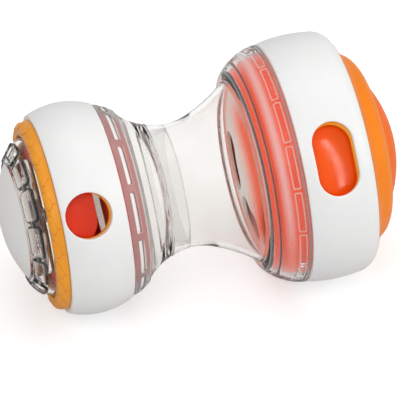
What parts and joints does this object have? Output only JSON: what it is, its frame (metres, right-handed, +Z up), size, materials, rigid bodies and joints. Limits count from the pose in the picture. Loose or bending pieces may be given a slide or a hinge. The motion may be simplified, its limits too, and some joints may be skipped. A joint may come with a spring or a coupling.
{
  "type": "slow feeder dog toy",
  "caption": "Hollow dumbbell toy that rolls on two wheels and lets dry food fall from an outlet in each wheel, with clear halves that unscrew at the waist.",
  "frame": {"origin": "middle of the object's length and width, on the floor that its two wheels stand on", "axes": "+X along the toy towards the large wheel, +Y to the back, +Z up; the toy's own axis rises 4.3 degrees towards +X"},
  "size_m": [0.186, 0.1152, 0.1153],
  "materials": {
    "clear_plastic": "polished",
    "white_plastic": "satin",
    "pale_plastic": "satin",
    "cream_plastic": "satin",
    "orange_plastic": "satin",
    "light_orange_plastic": "satin",
    "red_orange_plastic": "satin",
    "silicone": "matte",
    "steel": "brushed"
  },
  "bodies": {
    "large_body": {"large_clear_half": "clear_plastic", "large_shutter_drum": "red_orange_plastic", "large_divider_disc": "cream_plastic", "large_pivot_screw": "steel", "large_drag_ring": "silicone"},
    "large_wheel": {"large_wheel_liner": "light_orange_plastic", "large_wheel_band": "white_plastic", "large_end_cap": "orange_plastic", "large_hub_cap": "orange_plastic", "large_pivot_washer": "steel", "large_cap_screws": "steel"},
    "seal_body": {"waist_seal": "silicone"},
    "small_body": {"small_clear_half": "clear_plastic", "small_shutter_drum": "red_orange_plastic", "small_divider_cup": "cream_plastic", "small_pivot_screw": "steel", "small_drag_ring": "silicone"},
    "small_wheel": {"small_wheel_liner": "light_orange_plastic", "small_wheel_band": "white_plastic", "small_grip_ring": "light_orange_plastic", "small_clear_cover": "clear_plastic", "small_hub_cap": "pale_plastic", "small_pivot_washer": "steel"}
  },
  "joints": [
    {"name": "large_wheel_turn", "type": "hinge", "parent": "large_body", "child": "large_wheel", "pos_m": [0.07204, 0, 0.05901], "axis": [0.9971, 0, 0.0757], "continuous": true},
    {"name": "waist_slide", "type": "slide", "parent": "large_body", "child": "seal_body", "axis": [-0.9971, 0, -0.0757], "range_m": [0, 0.0076]},
    {"name": "waist_turn", "type": "hinge", "parent": "seal_body", "child": "small_body", "pos_m": [-0.01571, 0, 0.05235], "axis": [-0.9971, 0, -0.0757], "range_deg": [0, 270]},
    {"name": "small_wheel_turn", "type": "hinge", "parent": "small_body", "child": "small_wheel", "pos_m": [-0.07554, 0, 0.0478], "axis": [0.9971, 0, 0.0757], "continuous": true}
  ],
  "couplings": [
    {"joint": "waist_slide", "follows": "waist_turn", "m_per_rad": 0.0015915}
  ]
}
